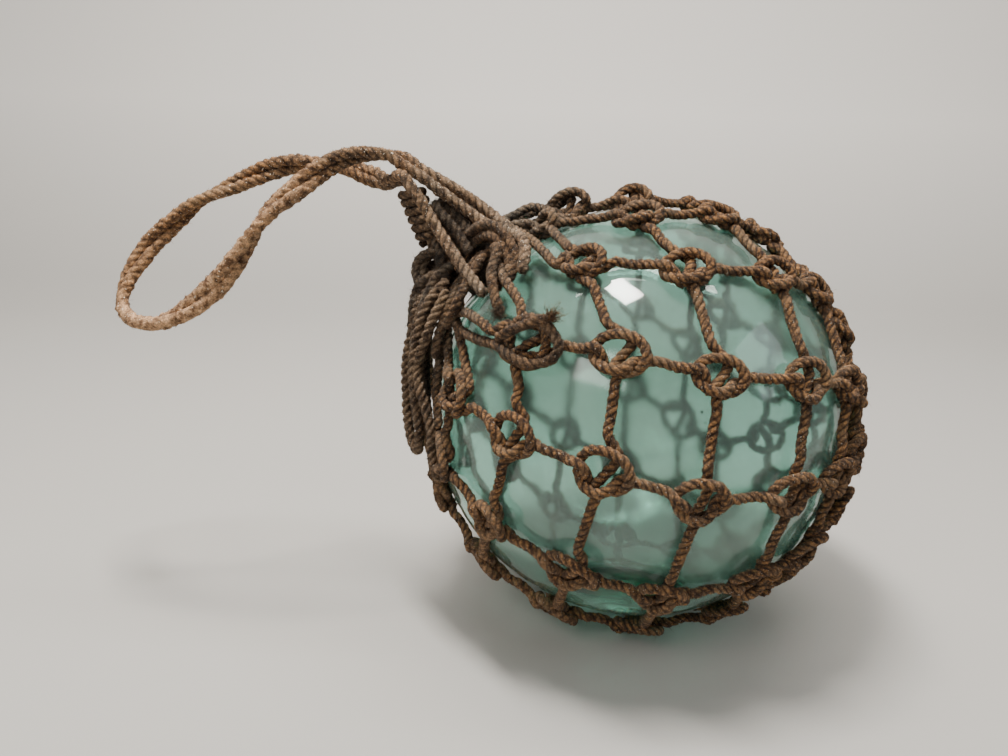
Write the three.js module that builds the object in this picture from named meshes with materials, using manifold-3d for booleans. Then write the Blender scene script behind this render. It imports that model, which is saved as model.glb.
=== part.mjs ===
// A glass fishing float: a blown glass ball in a knotted rope net, with a doubled rope
// becket (carrying loop) made fast to the neck where the net is gathered in.
//
// Millimetres, +Z up. The origin is on the floor, under the centre of the ball, on the flat
// of the net's foot knot. +X points away from the becket and +Y to the back.

import * as THREE from 'three';
import { mergeVertices } from 'three/addons/utils/BufferGeometryUtils.js';
import Module from 'manifold-3d';

const wasm = await Module();
wasm.setup();

const degrees = THREE.MathUtils.degToRad;

// Driving dimensions ----------------------------------------------------------------------

const ballRadius = 150;
const ballDetail = 5;              // subdivisions of the icosahedron behind the ball
const gap = 0.35;                  // clearance between pieces that touch
const footThickness = 5.6;         // the foot knot, pressed flat under the ball's weight

const netRope = 6;                 // diameter of the net's rope
const ropeLift = 0.9;              // net rope's underside over the glass, in mid mesh
const knotRadius = 14;
const knotRidge = 0.62;            // radius of a knot's raised ring, over the knot's own
const knotHeight = 11.5;
const knotHollow = 7;              // height of the dip inside the raised ring
const linkStep = 30;               // longest straight piece in a net rope

const rows = 14;                   // rows of knots round the ball, from the neck's side
const axisTilt = 27.4;             // the rows' axis, above -X
const rowCrowding = 16;            // how far rows crowd to the neck's side, degrees
const backSpread = 0.6;            // how much of that the rows at the back are without
const backTwist = 0.9;             // how much of the rings' twist they are without
const ringPolar = [21.9, 42.7, 64.3, 85.8, 106.7, 122.3];
const ringTwist = [-23, -12.7, -5.2, 0, 11.2, 23];
const footRing = 3;                // the ring whose knot in the lowest row is the foot
const footSlip = 90 + axisTilt - ringPolar[footRing];
const rowSlip = [                  // how far each row is pulled off the neck, degrees
  -28, -27.4, -13.6, 1.3, 10.9, 19.4, 29, footSlip, 30, 24, 14, 2, -11, -21,
];
// First knotted ring of each row.
const firstRing = [2, 3, 2, 1, 0, 0, 0, 0, 0, 0, 0, 1, 2, 3];
const closingReach = [0.34, 0.68]; // the two closing rings, from the last ring to the far pole
const farPoleTilt = 3;             // the far pole, above +X
const closingKnotRadius = 12.5;
const farKnotRadius = 15;

const neckDirection = new THREE.Vector3(-0.7, 0.05, 0.71).normalize();
const mouthRim = { height: 4, radius: 38 };     // where the tight ropes leave the glass
const slackRim = { height: 24, radius: 36 };    // where the slack ropes bow out over it
const slackRows = [6, 9];                       // first and last row with slack ropes
const gatherProfile = [                         // height over the glass, radius
  [-6, 33], [4, 32], [14, 26], [25, 21], [38, 18], [52, 14], [64, 10], [72, 7],
];
const gatherLobes = 12;
const gatherLobeDepth = 0.1;       // share of the gather's radius
const neckRopeWidth = 1.2 * netRope;            // the slack and doubled ropes at the neck
const neckRopeSpread = 0.3;                     // angle between ropes from one knot, radians
const neckRopeEnd = { height: 14, share: 0.5 }; // its end in the gather: over and inside its rim

const becketRope = 8;
const pairSpacing = 8.2;           // between the two ropes that make the becket
const pairLay = 200;               // length of one turn of the pair
const lobePoints = 6;              // points of the outline round each of the two ropes
const pairWrap = degrees(130);     // how far round each rope its outline goes, each way
const becketStep = 28;
const ropeSides = 8;
const legStep = 16;

const coilTop = new THREE.Vector3(-167, -10, 157);
const coilFoot = new THREE.Vector3(-152.5, -12, 123.5);
const coilTurns = 6;
const coilRadius = 11;
const coilGroove = 2;              // depth between two turns
const coilFlat = 0.4;              // share of a turn's width that is level
const coilSides = 10;

const headRope = 7.5;
const headStep = 20;

const floorBlock = { width: 200, height: 40 };  // takes the foot knot off flat

// Routes, from the ball's centre. The becket leaves the neck, runs out to its bight and back.
const becketRoute = [
  [-180, 0, 159], [-195, 5, 164], [-212, 10, 169], [-230, 14, 171], [-249, 16, 171],
  [-267, 17, 167], [-287, 17, 159], [-306, 17, 150], [-324, 16, 141], [-340, 13, 127],
  [-354, 9, 114], [-365, 4, 99], [-372, -2, 85], [-374, -9, 73], [-369, -17, 65],
  [-356, -25, 61], [-340, -31, 63], [-323, -35, 71], [-305, -38, 84], [-290, -39, 99],
  [-278, -38, 115], [-268, -36, 131], [-258, -33, 144], [-245, -30, 155], [-231, -26, 166],
  [-218, -21, 175], [-204, -16, 180], [-188, -12, 181], [-173, -9, 178], [-161, -7, 172],
];
const coilLeg = [
  [-184, -1, 160], [-176.5, -6, 163.5], [-169.5, -9.7, 162.7], [-167, -10, 157],
  [-159.75, -11, 140.25], [-152.5, -12, 123.5], [-150.9, -12.2, 119.8], [-148, -13, 111],
];
const diagonalLeg = [
  [-183, -2, 160], [-172, -20, 167], [-165, -28, 160], [-156, -31, 147], [-148, -34, 135],
  [-139, -39, 123], [-128, -47, 111], [-118, -58, 101], [-112, -69, 94],
];
const innerLeg = [
  [-170, -9, 176], [-159, -15, 167], [-146, -17, 158], [-133, -17, 149], [-120, -20, 141],
  [-108, -30, 135], [-98, -47, 128], [-96, -60, 120], [-99, -68, 112],
];
const outerLeg = [
  [-168, -9, 176], [-161, -8, 171.5], [-149, -8, 166], [-135, -6, 158], [-120, -7, 149],
  [-106, -15, 140], [-95, -33, 134], [-89, -51, 131], [-88, -65, 124], [-90, -75, 115],
];
const headRoute = [
  [-142, -42, 95], [-150, -43, 75], [-154, -45, 57], [-156, -46, 40], [-156, -47, 20],
  [-156, -47, 2], [-156, -46, -12], [-158, -40, -22], [-164, -32, -16], [-166, -29, 0],
  [-167, -28, 20], [-167, -27, 42], [-163, -27, 63], [-160, -30, 80], [-149, -33, 97],
];

// Helpers ---------------------------------------------------------------------------------

const point = ([x, y, z]) => new THREE.Vector3(x, y, z);

/** A closed indexed geometry from vertices and triangles. */
function solid(vertices, triangles) {
  const geometry = new THREE.BufferGeometry();
  geometry.setAttribute('position', new THREE.Float32BufferAttribute(vertices, 3));
  geometry.setIndex(triangles);
  return geometry;
}

/** Merges a geometry's vertices, so that it can be joined and cut. */
function welded(geometry) {
  const bare = geometry.clone();
  bare.deleteAttribute('normal');
  bare.deleteAttribute('uv');
  return mergeVertices(bare, 1e-4);
}

function toManifold(geometry) {
  const mesh = welded(geometry);
  return new wasm.Manifold(new wasm.Mesh({
    numProp: 3,
    vertProperties: new Float32Array(mesh.attributes.position.array),
    triVerts: new Uint32Array(mesh.index.array),
  }));
}

function fromManifold(manifold) {
  const mesh = manifold.getMesh();
  return solid(Array.from(mesh.vertProperties), Array.from(mesh.triVerts));
}

/** Skins rings of equal count into a closed solid. Rings run anticlockwise along the path. */
function loft(rings) {
  const count = rings[0].length;
  const vertices = rings.flatMap((ring) => ring.flatMap((p) => [p.x, p.y, p.z]));
  const triangles = [];
  for (let r = 0; r + 1 < rings.length; r += 1) {
    for (let i = 0; i < count; i += 1) {
      const a = r * count + i;
      const b = r * count + ((i + 1) % count);
      triangles.push(a, b, b + count, a, b + count, a + count);
    }
  }
  const last = (rings.length - 1) * count;
  for (let i = 1; i + 1 < count; i += 1) {
    triangles.push(0, i + 1, i);
    triangles.push(last, last + i, last + i + 1);
  }
  return solid(vertices, triangles);
}

/** A plain round rope along a route. */
function rope(route, diameter, sides = ropeSides, step = becketStep) {
  const curve = new THREE.CatmullRomCurve3(route, false, 'centripetal');
  const section = new THREE.Shape();
  for (let i = 0; i < sides; i += 1) {
    const angle = (2 * Math.PI * (i + 0.5)) / sides;
    const x = (diameter / 2) * Math.cos(angle);
    const y = (diameter / 2) * Math.sin(angle);
    if (i === 0) section.moveTo(x, y);
    else section.lineTo(x, y);
  }
  section.closePath();
  return new THREE.ExtrudeGeometry(section, {
    steps: Math.max(2, Math.ceil(curve.getLength() / step)),
    extrudePath: curve,
    bevelEnabled: false,
  });
}

// The net's lattice -----------------------------------------------------------------------

const rowAxis = new THREE.Vector3(-Math.cos(degrees(axisTilt)), 0, Math.sin(degrees(axisTilt)));
const rowUp = new THREE.Vector3(Math.sin(degrees(axisTilt)), 0, Math.cos(degrees(axisTilt)));
const rowSide = new THREE.Vector3().crossVectors(rowAxis, rowUp);
const farPole = new THREE.Vector3(Math.cos(degrees(farPoleTilt)), 0, Math.sin(degrees(farPoleTilt)));

/** Direction from the ball's centre to a knot of the lattice. */
function latticeDirection(row, ring) {
  const turn = (2 * Math.PI * row) / rows;
  const back = Math.max(0, -Math.sin(turn));
  const polar = degrees(ringPolar[ring] + rowSlip[row]);
  const crowding = degrees(rowCrowding) * (Math.sin(turn) + backSpread * back);
  const azimuth = crowding - turn + degrees(ringTwist[ring]) * (1 - backTwist * back);
  return new THREE.Vector3()
    .addScaledVector(rowAxis, Math.cos(polar))
    .addScaledVector(rowUp, Math.sin(polar) * Math.cos(azimuth))
    .addScaledVector(rowSide, Math.sin(polar) * Math.sin(azimuth));
}

/** Part of the way along the great circle from one direction to another. */
function between(from, to, share) {
  const angle = from.angleTo(to);
  return new THREE.Vector3()
    .addScaledVector(from, Math.sin((1 - share) * angle) / Math.sin(angle))
    .addScaledVector(to, Math.sin(share * angle) / Math.sin(angle));
}

const knots = [];                  // { direction, radius, row, links: [knot, ...], toNeck: count }
const lattice = new Map();         // "row,ring" to knot

function addKnot(direction, radius = knotRadius, row = -1) {
  const knot = { direction, radius, row, links: [], toNeck: 0 };
  knots.push(knot);
  return knot;
}

function link(a, b) {
  a.links.push(b);
  b.links.push(a);
}

for (let row = 0; row < rows; row += 1) {
  for (let ring = firstRing[row]; ring < ringPolar.length; ring += 1) {
    lattice.set(`${row},${ring}`, addKnot(latticeDirection(row, ring), knotRadius, row));
  }
}
for (let row = 0; row < rows; row += 1) {
  for (let ring = firstRing[row]; ring < ringPolar.length; ring += 1) {
    const knot = lattice.get(`${row},${ring}`);
    const next = lattice.get(`${(row + 1) % rows},${ring}`);
    const before = lattice.get(`${(row + rows - 1) % rows},${ring}`);
    const onward = lattice.get(`${row},${ring + 1}`);
    if (next) link(knot, next);
    if (onward) link(knot, onward);
    knot.toNeck += (next ? 0 : 1) + (before ? 0 : 1) + (ring === firstRing[row] ? 1 : 0);
  }
}

// Past the last ring the net closes: one more ring, then pairs of rows share a knot.
const lastRing = ringPolar.length - 1;
const closing = [];
for (let row = 0; row < rows; row += 1) {
  const last = lattice.get(`${row},${lastRing}`);
  closing.push(addKnot(between(last.direction, farPole, closingReach[0]), closingKnotRadius));
  link(last, closing[row]);
}
const farKnot = addKnot(farPole, farKnotRadius);
const shared = [];
for (let row = 0; row < rows; row += 1) {
  link(closing[row], closing[(row + 1) % rows]);
  if (row % 2) continue;
  const middle = between(
    latticeDirection(row, lastRing),
    latticeDirection(row + 1, lastRing),
    0.5,
  );
  const knot = addKnot(between(middle, farPole, closingReach[1]), closingKnotRadius);
  link(closing[row], knot);
  link(closing[row + 1], knot);
  link(knot, farKnot);
  shared.push(knot);
}
shared.forEach((knot, i) => link(knot, shared[(i + 1) % shared.length]));

// The net as one skin: every knot is a low lump with a port for each of its ropes ----------

const netVertices = [];
const netTriangles = [];

function netVertex(p) {
  netVertices.push(p.x, p.y, p.z);
  return netVertices.length / 3 - 1;
}

function netQuad(a, b, c, d) {
  netTriangles.push(a, b, c, a, c, d);
}

/** Point over a knot's tangent plane: angle and radius round the knot, height off the glass. */
function overKnot(knot, angle, radius, height) {
  return knot.direction.clone().multiplyScalar(ballRadius + gap + height)
    .addScaledVector(knot.along, radius * Math.cos(angle))
    .addScaledVector(knot.across, radius * Math.sin(angle));
}

function buildKnot(knot) {
  const start = knot.links[0].direction;
  knot.along = start.clone().addScaledVector(knot.direction, -start.dot(knot.direction)).normalize();
  knot.across = new THREE.Vector3().crossVectors(knot.direction, knot.along);
  knot.ports = knot.links
    .map((other) => {
      const x = other.direction.dot(knot.along);
      const y = other.direction.dot(knot.across);
      return { other, angle: (Math.atan2(y, x) + 2 * Math.PI) % (2 * Math.PI) };
    })
    .sort((a, b) => a.angle - b.angle);
  const halfPort = Math.asin(netRope / 2 / knot.radius);
  const rim = [];
  for (const port of knot.ports) {
    for (const side of [-1, 1]) {
      const angle = port.angle + side * halfPort;
      rim.push({
        angle,
        low: netVertex(overKnot(knot, angle, knot.radius, 0)),
        high: netVertex(overKnot(knot, angle, knot.radius, netRope)),
        ridge: netVertex(overKnot(knot, angle, knot.radius * knotRidge, knotHeight)),
      });
    }
    const [left, right] = rim.slice(-2);
    port.loop = [left.low, right.low, right.high, left.high];
  }
  const hollow = netVertex(overKnot(knot, 0, 0, knotHollow));
  rim.forEach((here, i) => {
    const next = rim[(i + 1) % rim.length];
    if (i % 2) netQuad(here.low, next.low, next.high, here.high);
    netQuad(here.high, next.high, next.ridge, here.ridge);
    netTriangles.push(here.ridge, next.ridge, hollow);
    if (i > 0 && i + 1 < rim.length) netTriangles.push(next.low, here.low, rim[0].low);
  });
}

/** The rope between two knots, from port to port, bent round the glass. */
function buildLink(knot, other) {
  const port = knot.ports.find((p) => p.other === other);
  const far = other.ports.find((p) => p.other === knot);
  const clear = ballRadius * knot.direction.angleTo(other.direction) - knot.radius - other.radius;
  const steps = Math.max(1, Math.ceil(clear / linkStep));
  const loops = [port.loop];
  for (let i = 1; i < steps; i += 1) {
    const reach = (knot.radius + (clear * i) / steps) / (clear + knot.radius + other.radius);
    const up = between(knot.direction, other.direction, reach);
    const side = new THREE.Vector3().crossVectors(up, other.direction).normalize();
    const corner = (across, height) => netVertex(
      up.clone().multiplyScalar(ballRadius + ropeLift + height)
        .addScaledVector(side, (across * netRope) / 2),
    );
    loops.push([corner(-1, 0), corner(1, 0), corner(1, netRope), corner(-1, netRope)]);
  }
  const [a, b, c, d] = far.loop;
  loops.push([b, a, d, c]);
  for (let i = 0; i + 1 < loops.length; i += 1) {
    for (let k = 0; k < 4; k += 1) {
      const n = (k + 1) % 4;
      netQuad(loops[i][k], loops[i][n], loops[i + 1][n], loops[i + 1][k]);
    }
  }
}

knots.forEach(buildKnot);
for (const knot of knots) {
  for (const other of knot.links) {
    if (knots.indexOf(knot) < knots.indexOf(other)) buildLink(knot, other);
  }
}

// The mouth of the net, gathered into the neck ---------------------------------------------

const neckAlong = new THREE.Vector3(0, 1, 0)
  .addScaledVector(neckDirection, -neckDirection.y)
  .normalize();
const neckAcross = new THREE.Vector3().crossVectors(neckDirection, neckAlong);

/** Point beside the neck's axis: height over the glass, radius and angle round the axis. */
function besideNeck(height, radius, angle) {
  return neckDirection.clone().multiplyScalar(ballRadius + height)
    .addScaledVector(neckAlong, radius * Math.cos(angle))
    .addScaledVector(neckAcross, radius * Math.sin(angle));
}

/** The gathered ropes as one lobed cone. */
function gatherGeometry() {
  const count = 2 * gatherLobes;
  return loft(gatherProfile.map(([height, radius]) => Array.from({ length: count }, (_, i) => {
    const lobe = 1 + gatherLobeDepth * (i % 2 ? -1 : 1);
    return besideNeck(height, radius * lobe, (2 * Math.PI * i) / count);
  })));
}

/** A rope from a knot of the mouth's edge up into the gather, spread from its neighbours. */
function neckRope(knot, rim, spread) {
  const angle = spread + Math.atan2(
    knot.direction.dot(neckAcross),
    knot.direction.dot(neckAlong),
  );
  const lift = ropeLift + netRope / 2;
  const leave = besideNeck(rim.height, rim.radius, angle);
  const toward = leave.clone().normalize();
  const steps = Math.ceil((ballRadius * knot.direction.angleTo(toward)) / linkStep);
  const route = [knot.direction.clone().multiplyScalar(ballRadius + lift)];
  for (let i = 1; i < steps; i += 1) {
    const rise = (leave.length() - ballRadius - lift) * (i / steps);
    route.push(between(knot.direction, toward, i / steps).multiplyScalar(ballRadius + lift + rise));
  }
  route.push(leave);
  route.push(besideNeck(rim.height + neckRopeEnd.height, rim.radius * neckRopeEnd.share, angle));
  return rope(route, neckRopeWidth, 4, linkStep);
}

let netSolid = toManifold(solid(netVertices, netTriangles));
let mouth = toManifold(gatherGeometry());
for (const knot of knots) {
  const rim = knot.row >= slackRows[0] && knot.row <= slackRows[1] ? slackRim : mouthRim;
  for (let i = 0; i < knot.toNeck; i += 1) {
    const spread = (i - (knot.toNeck - 1) / 2) * neckRopeSpread;
    mouth = mouth.add(toManifold(neckRope(knot, rim, spread)));
  }
}
const ballGeometry = welded(new THREE.IcosahedronGeometry(ballRadius, ballDetail));
mouth = mouth.subtract(toManifold(new THREE.IcosahedronGeometry(ballRadius + gap, ballDetail)));
netSolid = netSolid.add(mouth);

const ballHeight = ballRadius + gap + footThickness;
const floorCut = new THREE.BoxGeometry(floorBlock.width, floorBlock.width, floorBlock.height);
floorCut.translate(0, 0, -ballHeight - floorBlock.height / 2);
netSolid = netSolid.subtract(toManifold(floorCut));

// The becket ------------------------------------------------------------------------------

/** Outline of two ropes side by side, anticlockwise from the right-hand rope's inner side. */
const pairOutline = [0, Math.PI].flatMap((facing) => (
  Array.from({ length: lobePoints }, (_, i) => {
    const angle = facing + pairWrap * ((2 * i) / (lobePoints - 1) - 1);
    return new THREE.Vector2(
      (pairSpacing / 2) * Math.cos(facing) + (becketRope / 2) * Math.cos(angle),
      (becketRope / 2) * Math.sin(angle),
    );
  })
));

/** Two ropes laid round each other along the route. */
function pairGeometry(route) {
  const curve = new THREE.CatmullRomCurve3(route.map(point), false, 'centripetal');
  const length = curve.getLength();
  const steps = Math.ceil(length / becketStep);
  const frames = curve.computeFrenetFrames(steps, false);
  return loft(Array.from({ length: steps + 1 }, (_, s) => {
    const turn = (2 * Math.PI * length * s) / steps / pairLay;
    return pairOutline.map((p) => {
      const turned = p.clone().rotateAround(new THREE.Vector2(), turn);
      return curve.getPointAt(s / steps)
        .addScaledVector(frames.normals[s], turned.x)
        .addScaledVector(frames.binormals[s], turned.y);
    });
  }));
}

let becketSolid = toManifold(pairGeometry(becketRoute));
for (const leg of [coilLeg, diagonalLeg, innerLeg, outerLeg]) {
  becketSolid = becketSolid.add(toManifold(rope(leg.map(point), becketRope, ropeSides, legStep)));
}

// The coil: turns of rope wound on the becket's leg ------------------------------------------

function coilGeometry() {
  const length = coilTop.distanceTo(coilFoot);
  const pitch = length / coilTurns;
  const bore = (becketRope / 2 + gap) / Math.cos(Math.PI / coilSides);
  const valley = coilRadius - coilGroove;
  const outline = [new THREE.Vector2(bore, 0), new THREE.Vector2(valley, 0)];
  for (let turn = 0; turn < coilTurns; turn += 1) {
    outline.push(new THREE.Vector2(coilRadius, (turn + (1 - coilFlat) / 2) * pitch));
    outline.push(new THREE.Vector2(coilRadius, (turn + (1 + coilFlat) / 2) * pitch));
    outline.push(new THREE.Vector2(valley, (turn + 1) * pitch));
  }
  outline.push(new THREE.Vector2(bore, length), new THREE.Vector2(bore, 0));
  const geometry = new THREE.LatheGeometry(outline, coilSides);
  const axis = coilTop.clone().sub(coilFoot).normalize();
  geometry.applyQuaternion(new THREE.Quaternion().setFromUnitVectors(new THREE.Vector3(0, 1, 0), axis));
  geometry.translate(coilFoot.x, coilFoot.y, coilFoot.z);
  return welded(geometry);
}

// The assembly ----------------------------------------------------------------------------

const glass = new THREE.MeshStandardMaterial({ color: 0x6fa79c, roughness: 0.1, metalness: 0 });
const rust = new THREE.MeshStandardMaterial({ color: 0x76573d, roughness: 0.95, metalness: 0 });
const umber = new THREE.MeshStandardMaterial({ color: 0x6b4630, roughness: 0.95, metalness: 0 });
const dark = new THREE.MeshStandardMaterial({ color: 0x4f4234, roughness: 0.95, metalness: 0 });

const float = new THREE.Group();

function addPiece(name, geometry, material) {
  const mesh = new THREE.Mesh(geometry, material);
  mesh.name = name;
  mesh.position.z = ballHeight;
  float.add(mesh);
}

addPiece('glass_ball', ballGeometry, glass);
addPiece('net', fromManifold(netSolid), rust);
addPiece('becket', fromManifold(becketSolid), umber);
addPiece('coil', coilGeometry(), dark);
addPiece('head_rope', welded(rope(headRoute.map(point), headRope, ropeSides, headStep)), dark);

export default float;
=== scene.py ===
"""The looks of a glass fishing float.

A hollow blown glass ball in a net of hand-laid rope. The net is knotted row by row and gathered
into a neck, where a doubled rope becket (carrying loop) is made fast.

Blender's lengths are metres. Routes and sizes below are millimetres from the ball's centre,
+Z up, +X away from the becket and +Y to the back, and place() puts them in the frame.
"""

import math

import bpy
import numpy as np
from mathutils import Matrix, Vector, noise


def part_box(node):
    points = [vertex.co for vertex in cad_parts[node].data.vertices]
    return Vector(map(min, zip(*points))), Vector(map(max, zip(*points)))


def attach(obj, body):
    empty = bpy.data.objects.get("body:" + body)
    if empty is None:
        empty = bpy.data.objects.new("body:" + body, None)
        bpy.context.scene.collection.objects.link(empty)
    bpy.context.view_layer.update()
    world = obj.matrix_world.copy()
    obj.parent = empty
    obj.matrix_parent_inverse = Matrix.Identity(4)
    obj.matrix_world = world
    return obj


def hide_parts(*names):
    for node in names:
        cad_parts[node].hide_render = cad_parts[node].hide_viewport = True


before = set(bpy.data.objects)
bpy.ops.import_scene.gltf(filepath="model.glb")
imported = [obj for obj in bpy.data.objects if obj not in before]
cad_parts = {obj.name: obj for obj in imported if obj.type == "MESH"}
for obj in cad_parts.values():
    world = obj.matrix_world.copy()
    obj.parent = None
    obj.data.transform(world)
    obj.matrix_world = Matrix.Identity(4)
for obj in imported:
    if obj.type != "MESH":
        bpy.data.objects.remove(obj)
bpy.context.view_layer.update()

MM = 0.001
ball_low, ball_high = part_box("glass_ball")
CENTRE = np.array((ball_low + ball_high) / 2)
RADIUS = (ball_high.x - ball_low.x) / 2 / MM
FLOOR = -CENTRE[2] / MM
TAU = 2 * math.pi

# The net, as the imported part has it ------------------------

NET_ROPE = 6
ROPE_WIDTH = 6.9          # of the same rope as it is drawn, with its fuzz and dirt
ROPE_RISE = (ROPE_WIDTH - NET_ROPE) / 2
ROWS = 14
AXIS_TILT = 27.4
ROW_CROWDING = 16
BACK_SPREAD = 0.6
BACK_TWIST = 0.9
RING_POLAR = [21.9, 42.7, 64.3, 85.8, 106.7, 122.3]
RING_TWIST = [-23, -12.7, -5.2, 0, 11.2, 23]
FOOT_RING = 3
FOOT_SLIP = 90 + AXIS_TILT - RING_POLAR[FOOT_RING]
ROW_SLIP = [-28, -27.4, -13.6, 1.3, 10.9, 19.4, 29, FOOT_SLIP, 30, 24, 14, 2, -11, -21]
FIRST_RING = [2, 2, 2, 1, 0, 0, 0, 0, 0, 0, 0, 1, 2, 3]
CLOSING_REACH = (0.34, 0.68)
FAR_POLE_TILT = 3
NECK = np.array([-0.7, 0.05, 0.71])
NECK = NECK / np.linalg.norm(NECK)
GATHER = [(4, 32), (14, 26), (25, 21), (38, 18), (52, 14), (64, 10)]   # height over glass, radius
MOUTH_RIM = (4, 38)
SLACK_RIM = (24, 36)
SLACK_ROWS = range(6, 10)
NECK_ROPE_SPREAD = 0.3
CORE_STEP = 1.6
CORE_SIDES = 96
GATHER_CORE = [(-5, 30), (4, 29), (14, 25), (25, 20), (38, 15), (52, 10), (62, 5)]

# Knots of the mouth that lie out of line, by (row, ring): their direction, their size, and for
# those that stand on edge how far they lean (radians) and how high their middle is.
MOUTH_KNOTS = {(0, 2): (-61.0, 6, 157), (1, 2): (-75.0, -13, 139), (2, 2): (-52.0, -80, 125)}
KNOT_SIZES = {(0, 2): 1.3, (0, 3): 0.78, (1, 2): 1.0, (3, 1): 1.12, (3, 2): 0.95}
STANDING_KNOTS = {(0, 2): (1.15, 9), (0, 3): (0.75, 5), (1, 2): (0.5, 7)}

# Slack ropes at the mouth, from a knot's port to the neck.
MOUTH_ROUTES = {
    (0, 2, "left"): [(-84, 14, 146), (-94, 12, 141), (-105, 8, 136), (-114, 4, 132)],
    (0, 2, "top"): [(-62, 24, 148), (-78, 26, 142), (-94, 22, 136), (-108, 14, 130)],
    (1, 2, "left"): [(-92, -12, 137), (-101, -8, 134), (-110, -4, 131)],
    (2, 2, "left"): [
        (-67, -76, 121), (-75, -62, 126), (-82, -46, 130), (-90, -30, 133), (-99, -17, 135),
        (-108, -10, 133),
    ],
    (3, 1, "left"): [
        (-106, -97, 82), (-115, -85, 85), (-124, -68, 86), (-132, -54, 84), (-138, -42, 86),
        (-138, -30, 96), (-132, -20, 106),
    ],
    (3, 1, "top"): [
        (-88, -103, 92), (-90, -96, 99), (-94, -88, 104), (-99, -79, 109), (-103, -70, 114),
        (-106, -58, 121), (-108, -46, 126),
    ],
    (4, 0, "left"): [
        (-136, -60, 47), (-137, -53, 56), (-138, -47, 67), (-139, -43, 77), (-138, -42, 87),
        (-134, -40, 96), (-129, -36, 103), (-123, -29, 110),
    ],
    (4, 0, "top"): [
        (-124, -72, 52), (-127, -65, 62), (-130, -60, 72), (-133, -50, 82), (-133, -40, 93),
        (-128, -30, 103),
    ],
}

# Loose ropes at the neck: bights and tails of the net's ropes, some frayed at the end.
NECK_BIGHTS = {
    "over": [
        (-133, -4, 118), (-131, -12, 124), (-125, -26, 132), (-119, -37, 138), (-111, -44, 141),
        (-103, -51, 137), (-97, -57, 130), (-94, -63, 121), (-96, -69, 113), (-101, -72, 105),
    ],
    "under": [
        (-126, -12, 120), (-121, -26, 126), (-116, -39, 132), (-110, -47, 134), (-104, -54, 130),
        (-100, -60, 123), (-98, -65, 116), (-100, -68, 108),
    ],
    "inside": [
        (-119, -14, 126), (-112, -30, 130), (-106, -42, 130), (-101, -52, 125), (-101, -60, 117),
        (-104, -64, 109), (-106, -68, 101),
    ],
    "stub": [
        (-108, -52, 127), (-106, -62, 128), (-107, -68, 122), (-109, -74, 115), (-108, -80, 108),
        (-106, -85, 101), (-104, -89, 95),
    ],
    "knot_bight": [
        (-137, -36, 82), (-134, -48, 77), (-128, -62, 73), (-119, -77, 72), (-111, -90, 73),
        (-104, -101, 74), (-97, -110, 71), (-88, -117, 68), (-79, -121, 69), (-71, -124, 73),
        (-67, -124, 81), (-71, -121, 89), (-78, -117, 94), (-86, -111, 94), (-93, -105, 90),
    ],
    "knot_tail": [
        (-104, -100, 78), (-98, -106, 84), (-91, -112, 89), (-84, -117, 93), (-78, -119, 96),
        (-73, -119, 97),
    ],
    "hanging_loop": [
        (-128, -26, 116), (-136, -31, 111), (-145, -32, 106), (-153, -30, 101), (-159, -26, 96),
        (-162, -22, 101), (-162, -20, 108), (-158, -20, 114), (-151, -22, 117), (-142, -22, 119),
    ],
    "side_loop": [
        (-148, -16, 118), (-155, -17, 112), (-158, -20, 103), (-156, -24, 94), (-160, -24, 86),
        (-166, -22, 79),
    ],
    "side_fall": [
        (-132, -30, 112), (-144, -36, 106), (-150, -38, 97), (-154, -40, 87), (-158, -40, 76),
        (-161, -41, 62), (-160, -43, 48), (-156, -44, 32), (-153, -46, 14), (-149, -50, -4),
    ],
    "second_fall": [
        (-134, -20, 112), (-141, -25, 107), (-147, -27, 95), (-151, -29, 81), (-153, -31, 67),
        (-154, -33, 54), (-154, -35, 40), (-153, -37, 26), (-152, -41, 12), (-150, -47, -1),
        (-146, -55, -12),
    ],
    "third_fall": [
        (-115, -30, 120), (-122, -37, 113), (-128, -43, 104), (-132, -49, 96), (-137, -53, 87),
        (-141, -54, 76), (-144, -54, 64), (-146, -53, 50),
    ],
    "short_fall": [
        (-110, -38, 123), (-117, -45, 117), (-122, -53, 109), (-126, -60, 102), (-130, -65, 94),
        (-134, -64, 84), (-139, -58, 74),
    ],
    "far_fall": [
        (-140, -10, 112), (-152, -12, 106), (-160, -15, 94), (-164, -18, 82), (-165, -20, 70),
        (-165, -22, 57), (-167, -24, 46), (-167, -26, 34), (-165, -27, 22), (-162, -30, 8),
        (-158, -36, -6),
    ],
}
NECK_TUFTS = [((-73, -119, 97), (0.6, -0.45, 0.5), 0.0), ((-104, -89, 95), (0, -0.4, -0.9), 0.8)]
MATTED = [                # dark matted rope up the front of the gather
    [(-151, -14, 151), (-144, -20, 142), (-137, -22, 134), (-130, -26, 127), (-124, -34, 119)],
    [(-147, -8, 153), (-139, -13, 145), (-132, -16, 138), (-125, -22, 130), (-119, -30, 123)],
    [(-152, -18, 142), (-147, -22, 133), (-141, -26, 124), (-135, -32, 116), (-129, -40, 108)],
    [(-150, -14, 132), (-148, -20, 124), (-145, -26, 116), (-143, -32, 108), (-140, -38, 100)],
]

# The becket, its legs, the coil and the head ropes ---------

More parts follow.
